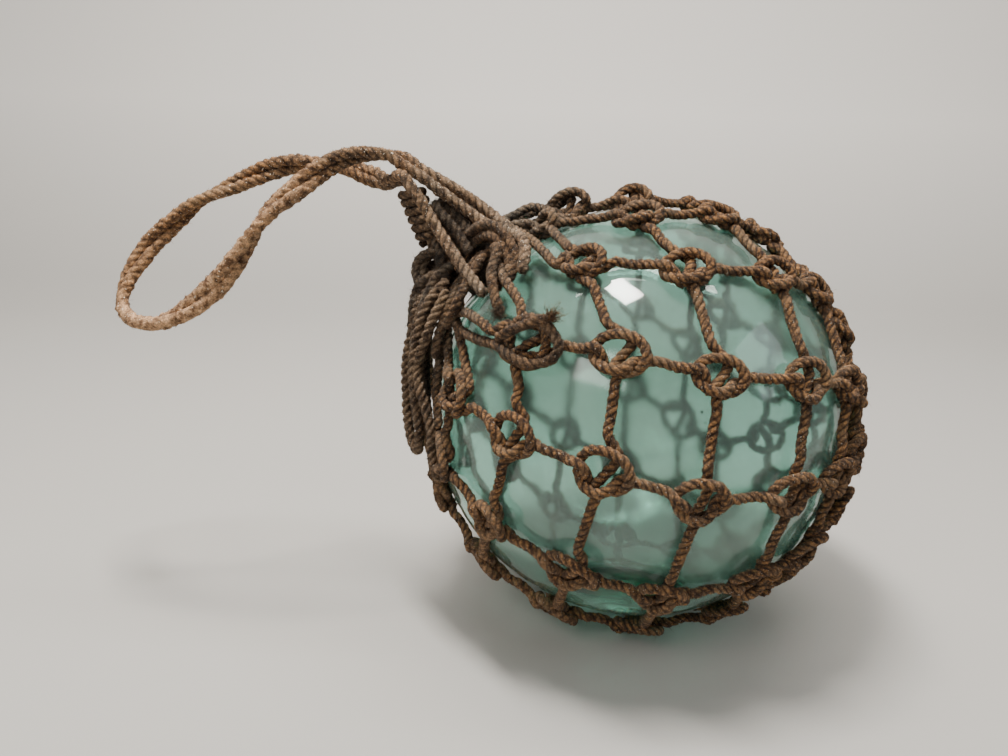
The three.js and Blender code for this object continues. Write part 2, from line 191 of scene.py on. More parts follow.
BECKET_ROPE = 8.4
PAIR_SPACING = 7.4        # between the middles of the becket's two ropes, pressed together
PAIR_LAY = 200
PAIR_START = 1.05         # angle that the pair starts at, so that its ropes meet their legs
BECKET_ROUTE = [
    (-180, 0, 159), (-195, 5, 164), (-212, 10, 169), (-230, 14, 171), (-249, 16, 171), (-267, 17, 167),
    (-287, 17, 159), (-306, 17, 150), (-324, 16, 141), (-340, 13, 127), (-354, 9, 114), (-365, 4, 99),
    (-372, -2, 85), (-374, -9, 73), (-369, -17, 65), (-356, -25, 61), (-340, -31, 63), (-323, -35, 71),
    (-305, -38, 84), (-290, -39, 99), (-278, -38, 115), (-268, -36, 131), (-258, -33, 144),
    (-245, -30, 155), (-231, -26, 166), (-218, -21, 175), (-204, -16, 180), (-188, -12, 181),
    (-173, -9, 178), (-161, -7, 172),
]
COIL_LEG = [
    (-184, -1, 160), (-176.5, -6, 163.5), (-169.5, -9.7, 162.7), (-167, -10, 157),
    (-159.75, -11, 140.25), (-152.5, -12, 123.5), (-150.9, -12.2, 119.8), (-148, -13, 111),
]
DIAGONAL_LEG = [
    (-182, -5, 163), (-175, -16, 168), (-170, -23, 167), (-164, -28, 160), (-157, -31, 151),
    (-150, -34, 140), (-141, -40, 128), (-130, -50, 115), (-121, -61, 106), (-113, -70, 99),
]
INNER_LEG = [
    (-172, -13, 174), (-159, -15, 167), (-146, -17, 158), (-133, -17, 149), (-120, -20, 141),
    (-108, -30, 135), (-98, -47, 128), (-96, -60, 120), (-99, -68, 112),
]
OUTER_LEG = [
    (-170, -5, 178), (-161, -7, 172), (-149, -8, 166), (-135, -6, 158), (-120, -7, 149),
    (-106, -15, 140), (-95, -33, 134), (-89, -51, 131), (-88, -65, 124), (-90, -75, 115),
]
COIL_TOP = np.array([-167.0, -10, 157])
COIL_FOOT = np.array([-152.5, -12, 123.5])
COIL_TURNS = 6
COIL_ROPE = 6
HEAD_ROPE = 7.8
HEAD_LOOP = [             # hangs from the neck down the side of the net and back
    (-139, -40, 102), (-146, -44, 94), (-152, -46, 86), (-156, -47, 75), (-159, -48, 61),
    (-161, -49, 46), (-161, -49, 30), (-159, -49, 15), (-157, -49, 0), (-157, -46, -13),
    (-159, -40, -22), (-164, -32, -17), (-167, -29, 0), (-168, -28, 20), (-168, -27, 42),
    (-164, -27, 63), (-160, -30, 80), (-149, -33, 97),
]
HEAD_TAIL = [             # twists round it and ends in the net below
    (-139, -48, 97), (-142, -53, 89), (-147, -55, 79), (-151, -56, 68), (-155, -53, 56),
    (-158, -50, 43), (-156, -55, 30), (-151, -60, 15), (-147, -62, 0), (-147, -62, -12),
    (-145, -63, -24), (-141, -66, -34),
]

# How rope is laid ------------------------------------------

LAY = 2.2                 # length of one turn of the strands, in rope diameters
RINGS_PER_TURN = 10
STRAND = 0.27             # radius of a strand, in rope diameters
POINTS_PER_STRAND = 4
RELIEF = 0.43             # depth of the grooves, as a share of three round strands' own
PRESSED = 0.35            # least height of a rope's middle over the floor, in rope diameters
MUD_SWELL = 0.16          # how much thicker caked mud makes a rope
MUD_FILL = 0.62           # how much of the grooves' depth it fills
END_WIDTH = 0.35          # of a rope's very end, over its own width
TUFT_FIBRES = 160
TUFT_LENGTH = 9
TUFT_WIDTH = 0.13

# A mesh knot, in rope diameters: x along the row, y up the column, z off the glass. The rope
# from the left turns in a bight and leaves at the top; the one from below wraps round it.
BIGHT = [
    (-2.45, 0.1, 1.5), (-1.65, -0.5, 1.15), (-1.25, -1.3, 0.7), (-0.75, -1.9, 0.5),
    (-0.25, -1.2, 0.6), (0.3, 0.0, 0.75), (0.8, 1.1, 0.65), (0.7, 2.05, 0.5),
]
WRAP = [
    (0.35, -2.2, 0.5), (1.1, -1.75, 0.6), (2.1, -1.1, 0.9), (2.6, 0.1, 1.55), (1.9, 1.45, 1.6),
    (0.6, 2.0, 1.55), (-0.9, 1.95, 1.2), (-2.2, 1.2, 0.75), (-2.6, 0.1, 0.5),
    (-2.2, -1.15, 0.85), (-0.8, -1.95, 1.5), (0.4, -1.85, 1.55), (1.15, -1.1, 1.35),
    (1.6, -0.35, 0.75), (2.5, 0.0, 0.5),
]
TUCK = [(-1.9, -0.9, 1.9), (-0.9, -0.4, 1.6), (-0.1, 0.1, 1.1)]
THROUGH = {"left": "top", "top": "left", "bottom": "right", "right": "bottom"}
KNOT_REACH = 3.6          # how far out a knot's ropes leave it, in rope diameters
PORT_HEIGHT = 0.8         # the rope's middle over the glass where it leaves a knot
ROPE_HEIGHT = 0.55        # and between knots
GLASS_STEP = 11

rng = np.random.default_rng(11)


# Routes ----------------------------------------------------

def place(points):
    """Millimetres from the ball's centre to metres in the frame."""
    return CENTRE + np.asarray(points, float) * MM


def unit(vector):
    return vector / np.linalg.norm(vector)


def smooth(points, fine=12):
    """A centripetal Catmull-Rom curve through the points."""
    points = np.asarray(points, float)
    ends = np.vstack([2 * points[0] - points[1], points, 2 * points[-1] - points[-2]])
    pieces = []
    for a, b, c, d in zip(ends, ends[1:], ends[2:], ends[3:]):
        t1 = max(np.linalg.norm(b - a), 1e-4) ** 0.5
        t2 = t1 + max(np.linalg.norm(c - b), 1e-4) ** 0.5
        t3 = t2 + max(np.linalg.norm(d - c), 1e-4) ** 0.5
        t = np.linspace(t1, t2, fine, endpoint=False)[:, None]
        ab = a + (b - a) * t / t1
        bc = b + (c - b) * (t - t1) / (t2 - t1)
        cd = c + (d - c) * (t - t2) / (t3 - t2)
        abc = ab + (bc - ab) * t / t2
        bcd = bc + (cd - bc) * (t - t1) / (t3 - t1)
        pieces.append(abc + (bcd - abc) * (t - t1) / (t2 - t1))
    return np.vstack(pieces + [points[-1:]])


def spaced(path, step):
    """The path again, in steps of equal length."""
    lengths = np.concatenate([[0], np.cumsum(np.linalg.norm(np.diff(path, axis=0), axis=1))])
    count = max(2, int(round(lengths[-1] / step)))
    at = np.linspace(0, lengths[-1], count + 1)
    return np.column_stack([np.interp(at, lengths, path[:, axis]) for axis in range(3)])


def frames(path):
    """Tangents, normals and binormals that turn as little as they can."""
    tangents = np.gradient(path, axis=0)
    tangents /= np.linalg.norm(tangents, axis=1)[:, None]
    normals = np.empty_like(path)
    normal = np.cross(tangents[0], [0.31, 0.53, 0.79])
    for i, tangent in enumerate(tangents):
        normal = normal - tangent * (normal @ tangent)
        normal = normal / math.sqrt(normal @ normal)
        normals[i] = normal
    return tangents, normals, np.cross(tangents, normals)


def between(start, end, share):
    """Part of the way along the great circle from one direction to another."""
    angle = math.acos(np.clip(start @ end, -1, 1))
    return (math.sin((1 - share) * angle) * start + math.sin(share * angle) * end) / math.sin(angle)


def rise(values, start, span):
    """0 at start, 1 at start + span and level beyond both."""
    return np.clip((values - start) / span, 0, 1)


def rough(points, scale, seed=0.0):
    """Smooth noise from -1 to 1 at each point, with features about scale millimetres across."""
    scaled = np.asarray(points) / scale + seed
    return np.array([noise.noise(Vector(p)) for p in scaled])


# Meshes ----------------------------------------------------

def make_object(name, points, faces, material, **attributes):
    """A mesh object from millimetre points, with its material and its named point values."""
    mesh = bpy.data.meshes.new(name)
    mesh.from_pydata(place(points).tolist(), [], faces)
    mesh.materials.append(material)
    mesh.polygons.foreach_set("use_smooth", [True] * len(mesh.polygons))
    for key, values in attributes.items():
        mesh.attributes.new(key, "FLOAT", "POINT").data.foreach_set("value", values)
    obj = bpy.data.objects.new(name, mesh)
    bpy.context.scene.collection.objects.link(obj)
    return obj


def finish_piece(obj, slot, *nodes):
    """The piece rides on the only body and hides the CAD nodes that it stands for. slot is not used.
    """
    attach(obj, "root")
    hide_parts(*nodes)


def skin_faces(rings, sides, reverse=False):
    """Faces of a closed skin. Its points are a pole, the rings' points and the other pole."""
    last = 1 + rings * sides
    end = last - sides
    faces = []
    for side in range(sides):
        n = (side + 1) % sides
        faces.append((0, 1 + side, 1 + n))
        for base in range(1, end, sides):
            faces.append((base + side, base + side + sides, base + n + sides, base + n))
        faces.append((last, end + n, end + side))
    return [(face[0], *face[:0:-1]) for face in faces] if reverse else faces


def rope_section():
    """Angle, radius and height above the grooves, round a three-strand rope of diameter 1."""
    offset = 0.5 - STRAND
    angles, radii = [], []
    for strand in range(3):
        for i in range(POINTS_PER_STRAND):
            local = TAU / 6 * (2 * i / POINTS_PER_STRAND - 1)
            angles.append(TAU * strand / 3 + local)
            reach = math.sqrt(STRAND ** 2 - (offset * math.sin(local)) ** 2)
            radii.append(offset * math.cos(local) + reach)
    radii = np.array(radii)
    return np.array(angles), radii, (radii - radii.min()) / (0.5 - radii.min())


SECTION_ANGLES, SECTION_RADII, SECTION_CROWN = rope_section()


class Ropes:
    """Laid ropes collected into one mesh, with the fibres that stand off them.

    crust is how lumpy the surface is, in rope diameters. age and mud are functions of points:
    age goes from 0, rusty, to 1, dark and grey, and mud from 0, clean, to 1, caked over.
    """

    def __init__(self, age, mud, crust=0.075, relief=RELIEF):
        self.points, self.outward, self.faces, self.values = [], [], [], []
        self.count = 0
        self.age, self.mud = age, mud
        self.crust, self.relief = crust, relief

    def add(self, points, outward, faces, *values):
        """values are the height over the grooves, the age and the mud, for each point."""
        points[:, 2] = np.maximum(points[:, 2], FLOOR)
        self.faces += [tuple(i + self.count for i in face) for face in faces]
        self.points.append(points)
        self.outward.append(outward)
        self.values.append(np.column_stack([np.broadcast_to(v, len(points)) for v in values]))
        self.count += len(points)

    def lay(self, path, diameter):
        """One rope along a path, thicker and smoother where mud cakes it."""
        path = spaced(path, LAY * diameter / RINGS_PER_TURN)
        path[:, 2] = np.maximum(path[:, 2], FLOOR + PRESSED * diameter)
        tangents, normals, binormals = frames(path)
        rings, sides = len(path), len(SECTION_ANGLES)
        twist = TAU * np.arange(rings) / RINGS_PER_TURN + rng.uniform(0, TAU)
        angles = twist[:, None] + SECTION_ANGLES[None, :]
        caked = self.mud(path)
        width = diameter * (1 + MUD_SWELL * caked)
        width[[0, -1]] *= END_WIDTH
        relief = self.relief * (1 - MUD_FILL * caked)
        section = 0.5 - relief[:, None] * (0.5 - SECTION_RADII[None, :])
        outward = (np.cos(angles)[:, :, None] * normals[:, None, :]
                   + np.sin(angles)[:, :, None] * binormals[:, None, :])
        points = path[:, None, :] + (width[:, None] * section)[:, :, None] * outward
        points, outward = points.reshape(-1, 3), outward.reshape(-1, 3)
        bumps = rough(points, 1.5) * 0.65 + rough(points, 5.5, 7.3) * 0.75
        bumps *= self.crust * diameter * (1 + 1.5 * np.repeat(caked, sides))
        points = points + outward * bumps[:, None]
        faces = []
        for ring in range(rings - 1):
            base = ring * sides
            for side in range(sides):
                near, next_near = base + side, base + (side + 1) % sides
                faces.append((near, next_near, next_near + sides, near + sides))
        faces.append(tuple(range(sides - 1, -1, -1)))
        faces.append(tuple(range((rings - 1) * sides, rings * sides)))
        crown = np.tile(SECTION_CROWN, rings)
        self.add(points, outward, faces, crown, self.age(points), self.mud(points))

    def fibres(self, count, length, width, joints=1, tone=0.1, stray=0.7):
        """Thin fibres all over the ropes."""
        roots, outward = np.vstack(self.points), np.vstack(self.outward)
        chosen = rng.integers(0, len(roots), count)
        direction = outward[chosen] + rng.normal(scale=stray, size=(count, 3))
        self.spikes(roots[chosen], direction, length, width, joints, tone)

    def tuft(self, root, direction, tone):
        """The fibres of a frayed end."""
        roots = np.array(root) + rng.normal(scale=1.6, size=(TUFT_FIBRES, 3))
        directions = unit(np.array(direction)) + rng.normal(scale=0.38, size=(TUFT_FIBRES, 3))
        self.spikes(roots, directions, TUFT_LENGTH, TUFT_WIDTH, 2, tone)

    def spikes(self, roots, direction, length, width, joints, tone):
        """Tapered three-sided spikes, straight or bent at their joints."""
        count = len(roots)
        direction = direction / np.linalg.norm(direction, axis=1)[:, None]
        side = np.cross(direction, rng.normal(size=(count, 3)))
        side /= np.linalg.norm(side, axis=1)[:, None]
        other = np.cross(direction, side)
        reach = length * rng.uniform(0.3, 1.25, (count, 1))
        bend = (side * rng.uniform(-0.5, 0.5, (count, 1))
                + other * rng.uniform(-0.5, 0.5, (count, 1))) * (joints > 1)
        corners = []
        for joint in range(joints):
            share = joint / joints
            middle = roots + (direction * share + bend * share ** 2) * reach
            middle -= direction * 0.4 * (joint == 0)
            for k in range(3):
                corner = math.cos(TAU * k / 3) * side + math.sin(TAU * k / 3) * other
                corners.append(middle + corner * width * (1 - 0.4 * share))
        corners.append(roots + (direction + bend) * reach)
        points = np.stack(corners, axis=1)
        each = points.shape[1]
        pattern = [(2, 1, 0)]
        for joint in range(joints):
            for k in range(3):
                low, next_low = 3 * joint + k, 3 * joint + (k + 1) % 3
                if joint == joints - 1:
                    pattern.append((low, next_low, each - 1))
                else:
                    pattern.append((low, next_low, next_low + 3, low + 3))
        faces = [tuple(i + each * n for i in face) for n in range(count) for face in pattern]
        self.add(points.reshape(-1, 3), np.repeat(direction, each, axis=0), faces, 1.0, tone, 0.0)

    def build(self, name, material):
        crown, age, mud = np.vstack(self.values).T
        return make_object(name, np.vstack(self.points), self.faces, material,
                           crown=crown, age=age, mud=mud)

    def triangles(self):
        return sum(len(face) - 2 for face in self.faces)


# The net's lattice -----------------------------------------

class Knot:
    """A knot at a direction from the ball's centre. ports: name to (knot, its port) or None."""

    def __init__(self, direction, row=-1, ring=-1):
        self.direction, self.row, self.ring = direction, row, ring
        self.ports = {}
        self.size = rng.uniform(0.84, 0.98)
        self.jitter = rng.normal(scale=0.05, size=3)
        self.turn = rng.normal(scale=0.12)
        self.lean, self.lift = STANDING_KNOTS.get((row, ring), (0, 0))


def lattice_direction(row, ring):
    """Direction from the ball's centre to a knot of the lattice."""
    tilt = math.radians(AXIS_TILT)
    axis = np.array([-math.cos(tilt), 0, math.sin(tilt)])
    upward = np.array([math.sin(tilt), 0, math.cos(tilt)])
    turn = TAU * row / ROWS
    back = max(0, -math.sin(turn))
    polar = math.radians(RING_POLAR[ring] + ROW_SLIP[row])
    crowding = math.radians(ROW_CROWDING) * (math.sin(turn) + BACK_SPREAD * back)
    azimuth = crowding - turn + math.radians(RING_TWIST[ring]) * (1 - BACK_TWIST * back)
    return (axis * math.cos(polar) + upward * math.sin(polar) * math.cos(azimuth)
            + np.cross(axis, upward) * math.sin(polar) * math.sin(azimuth))


def tie(knot, port, other, other_port):
    knot.ports[port] = (other, other_port)
    other.ports[other_port] = (knot, port)


def make_lattice():
    """Every knot of the net, tied to its neighbours, and the knot at the far pole."""
    last = len(RING_POLAR) - 1
    lattice = {
        (row, ring): Knot(lattice_direction(row, ring), row, ring)
        for row in range(ROWS) for ring in range(FIRST_RING[row], last + 1)
    }
    for place_in_net, direction in MOUTH_KNOTS.items():
        lattice[place_in_net] = Knot(unit(np.array(direction)), *place_in_net)
    for place_in_net, size in KNOT_SIZES.items():
        lattice[place_in_net].size = size
    for (row, ring), knot in lattice.items():
        below = lattice.get(((row + 1) % ROWS, ring))
        onward = lattice.get((row, ring + 1))
        if below:
            tie(knot, "bottom", below, "top")
        if onward:
            tie(knot, "right", onward, "left")
    tilt = math.radians(FAR_POLE_TILT)
    pole = np.array([math.cos(tilt), 0, math.sin(tilt)])
    far = Knot(pole)
    closing = [
        Knot(between(lattice[row, last].direction, pole, CLOSING_REACH[0])) for row in range(ROWS)
    ]
    shared = []
    for row in range(ROWS):
        tie(lattice[row, last], "right", closing[row], "left")
        tie(closing[row], "bottom", closing[(row + 1) % ROWS], "top")
    for row in range(0, ROWS, 2):
        middle = between(lattice[row, last].direction, lattice[row + 1, last].direction, 0.5)
        knot = Knot(between(middle, pole, CLOSING_REACH[1]))
        tie(closing[row], "right", knot, "left")
        tie(closing[row + 1], "right", knot, "tuck")
        tie(knot, "right", far, f"spoke_{row}")
        shared.append(knot)
    for i, knot in enumerate(shared):
        tie(knot, "bottom", shared[(i + 1) % len(shared)], "top")
    knots = list(lattice.values()) + closing + shared
    for knot in knots:
        for port in ("left", "top", "bottom", "right"):
            knot.ports.setdefault(port, None)
    return knots, far


def orient(knot):
    """Sets a knot's own axes: along its row, up its column."""
    out = knot.direction
    along = np.zeros(3)
    for port, sign in (("right", 1), ("left", -1)):
        neighbour = knot.ports.get(port)
        target = neighbour[0].direction if neighbour else NECK
        if neighbour or port == "left":
            along += sign * unit(target - out * (target @ out))
    across = np.cross(out, along)
    turn = knot.turn
    along, across = unit(along), unit(across)
    knot.along = along * math.cos(turn) + across * math.sin(turn)
    knot.across = np.cross(out, knot.along)
    gaps = [math.acos(np.clip(out @ p[0].direction, -1, 1)) for p in knot.ports.values() if p]
    knot.room = RADIUS * min(gaps)
    knot.size *= min(1, knot.room / (6.8 * NET_ROPE))


def off_glass(height):
    """Radius of the middle of a rope: its height is in rope diameters."""
    return RADIUS + height * NET_ROPE + ROPE_RISE


def over_knot(knot, x, y, z):
    """A point over a knot: x and y from its middle and z off the glass, in rope diameters."""
    wobble = 1 + knot.jitter
    x, y = x * wobble[0] * knot.size, y * wobble[1] * knot.size
    if knot.lean:
        up = knot.across * math.cos(knot.lean) + knot.direction * math.sin(knot.lean)
        out = knot.direction * math.cos(knot.lean) - knot.across * math.sin(knot.lean)
        middle = knot.direction * (RADIUS + knot.lift)
        return middle + (knot.along * x + up * y + out * (z - 1)) * NET_ROPE
    flat = knot.along * x + knot.across * y
    return unit(knot.direction * RADIUS + flat * NET_ROPE) * off_glass(z)


def port_exit(knot, port):
    """Where the rope of a port clears the knot."""
    target = knot.ports[port][0].direction if knot.ports.get(port) else NECK
    reach = min(KNOT_REACH * NET_ROPE * knot.size, 0.45 * knot.room) / RADIUS
    angle = math.acos(np.clip(knot.direction @ target, -1, 1))
    return between(knot.direction, target, min(0.9, reach / angle)) * off_glass(PORT_HEIGHT)


def passage(knot, port):
    """The rope's way through a knot, in by a port: its points and the port it leaves by."""
    if port == "tuck":
        return [over_knot(knot, *p) for p in TUCK], None
    leave = THROUGH[port]
    points = [over_knot(knot, *p) for p in (BIGHT if port in ("left", "top") else WRAP)]
    if port in ("top", "right"):
        points.reverse()
    return points, leave


def along_glass(start, end):
    """Points on the glass between two points near it."""
    a, b = unit(start), unit(end)
    count = int(RADIUS * math.acos(np.clip(a @ b, -1, 1)) / GLASS_STEP)
    height = off_glass(ROPE_HEIGHT)
    return [between(a, b, i / (count + 1)) * height for i in range(1, count + 1)]


# The neck --------------------------------------------------

NECK_ALONG = unit(np.array([0, 1, 0]) - NECK * NECK[1])
NECK_ACROSS = np.cross(NECK, NECK_ALONG)


def beside_neck(height, radius, angle):
    return (NECK * (RADIUS + height) + NECK_ALONG * radius * math.cos(angle)
            + NECK_ACROSS * radius * math.sin(angle))


def clear_of(knot, port):
    """Where a rope clears its knot. Ropes with a route of their own go straight to that."""
    if (knot.row, knot.ring, port) in MOUTH_ROUTES:
        return []
    return [port_exit(knot, port)]


def neck_route(knot, port):
    """From beyond a knot's port over the glass and up the gather."""
    if (knot.row, knot.ring, port) in MOUTH_ROUTES:
        return [np.array(p, float) for p in MOUTH_ROUTES[knot.row, knot.ring, port]]
    start = port_exit(knot, port)
    rim = SLACK_RIM if knot.row in SLACK_ROWS else MOUTH_RIM
    missing = [p for p in ("top", "left", "bottom") if knot.ports.get(p) is None]
    spread = (missing.index(port) - (len(missing) - 1) / 2) * NECK_ROPE_SPREAD
    angle = math.atan2(knot.direction @ NECK_ACROSS, knot.direction @ NECK_ALONG) + spread
    leave = beside_neck(rim[0], rim[1] - NET_ROPE / 2, angle)
    steps = max(2, int(np.linalg.norm(leave - start) / 14))
    route = []
    low = off_glass(ROPE_HEIGHT)
    climb = np.linalg.norm(leave) - low
    for i in range(1, steps):
        share = i / steps
        route.append(between(unit(start), unit(leave), share) * (low + climb * share))
    route.append(leave)
    inner = rng.integers(0, 2) * 0.75 * NET_ROPE
    sway = rng.uniform(-0.25, 0.55)
    top = rng.uniform(40, 66)
    for height, radius in GATHER:
        if rim[0] + 4 < height < top:
            angle += sway * 0.35
            inside = max(3, radius - NET_ROPE / 2 - inner)
            route.append(beside_neck(height, inside * rng.uniform(0.9, 1.08), angle))
    return route


def gather_core():
    """The matted middle of the gather: a lumpy closed cone under its ropes."""
    path = np.array(GATHER_CORE, float)
    heights = np.arange(path[0, 0], path[-1, 0] + 0.1, CORE_STEP)
    radii = np.interp(heights, path[:, 0], path[:, 1])
    sides = CORE_SIDES
    angles = TAU * np.arange(sides) / sides
    points = [NECK * (RADIUS + heights[0])]
    outward = [-NECK]
    for height, radius in zip(heights, radii):
        for angle in angles:
            points.append(beside_neck(height, radius, angle))
            outward.append(NECK_ALONG * math.cos(angle) + NECK_ACROSS * math.sin(angle))
    points.append(NECK * (RADIUS + heights[-1] + 2))
    outward.append(NECK)
    points, outward = np.array(points), np.array(outward)
    lumps = 2.6 * rough(points, 8.5) + 1.3 * rough(points, 3.4, 4.0)
    lumps += 0.6 * rough(points, 1.5, 9.0)
    points = points + outward * lumps[:, None]
    faces = skin_faces(len(heights), sides, reverse=True)
    # The last values rise with the lumps, so the rope's painted groove shade darkens the core's
    # hollows.
    return points, outward, faces, np.clip(0.45 + 0.14 * lumps, 0, 1)


# Colours along the ropes -----------------------------------

def net_age(points):
    """Greyer towards the neck and under the left side, rusty over the rest."""
    lengths = np.linalg.norm(points, axis=1)
    toward_neck = points @ NECK / lengths
    left = -points[:, 0] / lengths
    beside = lengths * np.sqrt(np.clip(1 - toward_neck ** 2, 0, 1))
    gathered = rise(beside, 58, -20) * np.clip(toward_neck * 3, 0, 1)
    age = 0.14 + 0.38 * rise(toward_neck, 0.70, 0.22) + 0.4 * gathered
    return np.clip(age + 0.30 * rise(left, 0.80, 0.15) + 0.30 * rough(points, 26), 0, 1)


def net_mud(points):
    """Dried mud and grit: a little on the low ropes, most on the left."""
    low = rise(points[:, 2], 20, -120) * rise(points[:, 0], 40, -120)
    return np.clip(0.45 * low + 0.35 * rough(points, 17, 5.0) - 0.05, 0, 1)


def becket_mud(points):
    """Caked on the bight and the lower arm, thinning out towards the neck."""
    low = rise(points[:, 2], 142, -50) * rise(points[:, 0], -240, -30)
    far = rise(points[:, 0], -210, -90)
    lower_arm = far * rise(points[:, 1], -12, -10)
    caked = np.maximum(0.35 * low + 0.65 * low * lower_arm, 0.9 * lower_arm) + 0.12 * far
    return np.clip(caked + 0.25 * rough(points, 15, 2.0), 0, 1)


def becket_age(points):
    """Rusty brown at the bight, darker and greyer where it joins the neck."""
    age = 0.05 + 0.42 * rise(points[:, 0], -300, 140) + 0.22 * rise(points[:, 0], -180, 30)
    return np.clip(age + 0.3 * rough(points, 22, 3.1), 0, 1)


def neck_age(points):
    """Rusty where the ropes come to the front, dark where they hang at the side."""
    hidden = rise(points[:, 1], -66, 30) * rise(points[:, 0], -118, -16)
    return np.clip(0.38 + 0.50 * hidden + 0.45 * rough(points, 18, 3.1), 0, 1)


def steady(value, swing=0.2):
    """The same value all along, give or take some patches."""
    return lambda points: np.clip(value + swing * rough(points, 20, 3.1), 0, 1)


# Materials -------------------------------------------------

SEAL = unit(np.array([-13.0, -113, -98]))    # direction of the glass's sealed blow hole
GLASS_RINGING = 70        # radians of the rings' wave from the middle of the ball to a pole
BLACK = (0, 0, 0)
WHITE = (1, 1, 1)
RUST = (0.170, 0.086, 0.036)
SHADE = (0.052, 0.025, 0.011)
ORANGE = (0.480, 0.235, 0.080)
STRAW = (0.430, 0.290, 0.160)
GREY = (0.150, 0.126, 0.094)
SOOT = (0.026, 0.020, 0.014)
MUD = (0.520, 0.325, 0.185)
DEEP_MUD = (0.105, 0.052, 0.025)
GRIT = (0.72, 0.64, 0.52)
AQUA = (0.72, 0.85, 0.81)
FILM = (0.38, 0.47, 0.41)
FLOOR_TONE = (0.50, 0.49, 0.47)
WALL_TONE = (0.80, 0.78, 0.75)


class Graph:
    """A material and its nodes. A value is a number, a colour or a node's output."""

    def __init__(self, name):
        self.material = bpy.data.materials.new(name)
        self.material.use_nodes = True
        self.nodes = self.material.node_tree.nodes
        self.links = self.material.node_tree.links
        self.shader = self.nodes["Principled BSDF"]
        self.position = self.nodes.new("ShaderNodeTexCoord").outputs["Object"]

    def put(self, value, socket):
        if isinstance(value, (int, float)):
            socket.default_value = value
        elif isinstance(value, tuple):
            socket.default_value = (*value, 1)
        else:
            self.links.new(value, socket)

    def fill(self, node, **inputs):
        """Sets a node's inputs. Their names here have _ for each space."""
        for name, value in inputs.items():
            self.put(value, node.inputs[name.replace("_", " ")])
        return node

    def add(self, kind, **inputs):
        return self.fill(self.nodes.new(kind), **inputs)

    def noise(self, scale, detail=4, roughness=0.6):
        node = self.add("ShaderNodeTexNoise", Scale=scale, Detail=detail, Roughness=roughness,
                        Vector=self.position)
        return node.outputs["Fac"]

    def point_value(self, key):
        node = self.add("ShaderNodeAttribute")
        node.attribute_name = key
        return node.outputs["Fac"]

    def ramp(self, value, *stops):
        """A colour for each value, from two (value, colour) stops."""
        node = self.add("ShaderNodeValToRGB", Fac=value)
        for element, (position, colour) in zip(node.color_ramp.elements, stops):
            element.position = position
            element.color = (*colour, 1)
        return node.outputs["Color"]

    def mix(self, factor, first, second, blend="MIX"):
        node = self.add("ShaderNodeMix")
        node.data_type = "RGBA"
        node.blend_type = blend
        node.clamp_factor = True
        for socket, value in zip((0, 6, 7), (factor, first, second)):
            self.put(value, node.inputs[socket])
        return node.outputs[2]

    def math(self, operation, first, second=0.0, clamp=False):
        node = self.add("ShaderNodeMath")
        node.operation = operation
        node.use_clamp = clamp
        self.put(first, node.inputs[0])
        self.put(second, node.inputs[1])
        return node.outputs[0]

    def times(self, first, second):
        return self.math("MULTIPLY", first, second)

    def plus(self, first, second):
        return self.math("ADD", first, second)

    def vector(self, operation, first, second, output):
        """second is a plain vector."""
        node = self.add("ShaderNodeVectorMath")
        node.operation = operation
        self.put(first, node.inputs[0])
        node.inputs[1].default_value = second
        return node.outputs[output]

    def finish(self, height=0.0, depth=0.0, strength=1.0, **inputs):
        """Sets the shader's inputs, with a bump where a height is given, in metres."""
        if depth:
            bump = self.add("ShaderNodeBump", Strength=strength, Distance=depth, Height=height)
            inputs["Normal"] = bump.outputs["Normal"]
        self.fill(self.shader, **inputs)
        return self.material


def rope_material(name, orange, grit, lift=1.0):
    """Weathered rope: painted shade in the grooves and painted light on the crowns, rusty and
    grey stretches, orange fuzz that is partly a painted highlight, dried mud and grit.

    orange is how much of that orange fuzz and highlight there is, and lift how light the rope is.
    """
    graph = Graph(name)
    crown, age, mud = (graph.point_value(key) for key in ("crown", "age", "mud"))
    broad = graph.noise(42, 3)
    middle = graph.noise(210)
    fine = graph.noise(950, 3, 0.7)
    tuft = graph.noise(420, 2)
    dots = graph.ramp(graph.noise(640, 1), (0.685, BLACK), (0.74, WHITE))

    mottle = graph.ramp(middle, (0.38, BLACK), (0.62, WHITE))
    tone = graph.mix(mottle, SHADE, RUST)
    bleached = graph.ramp(broad, (0.50, BLACK), (0.72, WHITE))
    tone = graph.mix(graph.times(bleached, 0.45), tone, STRAW)
    # Orange fuzz on the strands' crowns: partly the fibres' own colour, partly a painted highlight.
    fuzz_and_highlight = graph.ramp(tuft, (0.46, BLACK), (0.64, WHITE))
    tone = graph.mix(graph.times(graph.times(fuzz_and_highlight, orange), crown), tone, ORANGE)
    tone = graph.mix(age, tone, graph.mix(mottle, SOOT, GREY))

    # Painted shade: the grooves between the strands are darkened by their depth, and the crowns get a
    # little painted light.
    groove_shade_and_crown_light = graph.ramp(crown, (0.0, (0.16, 0.13, 0.10)), (0.8, (1.15, 1.15, 1.15)))
    tone = graph.mix(0.9, tone, groove_shade_and_crown_light, "MULTIPLY")
    tone = graph.mix(graph.times(mud, 0.85), tone, graph.mix(mottle, DEEP_MUD, MUD))
    speckle = graph.ramp(fine, (0.32, (0.42, 0.40, 0.38)), (0.62, (1.3, 1.28, 1.25)))
    tone = graph.mix(0.85, tone, speckle, "MULTIPLY")
    tone = graph.mix(graph.times(dots, grit), tone, GRIT)
    tone = graph.mix(1.0, tone, (lift, lift, lift), "MULTIPLY")

    height = graph.plus(graph.plus(graph.times(middle, 0.5), fine), graph.times(dots, 0.3))
    return graph.finish(height, 0.0018, Base_Color=tone, Roughness=0.95, Specular_IOR_Level=0.2,
                        Sheen_Weight=0.08, Sheen_Roughness=0.6)


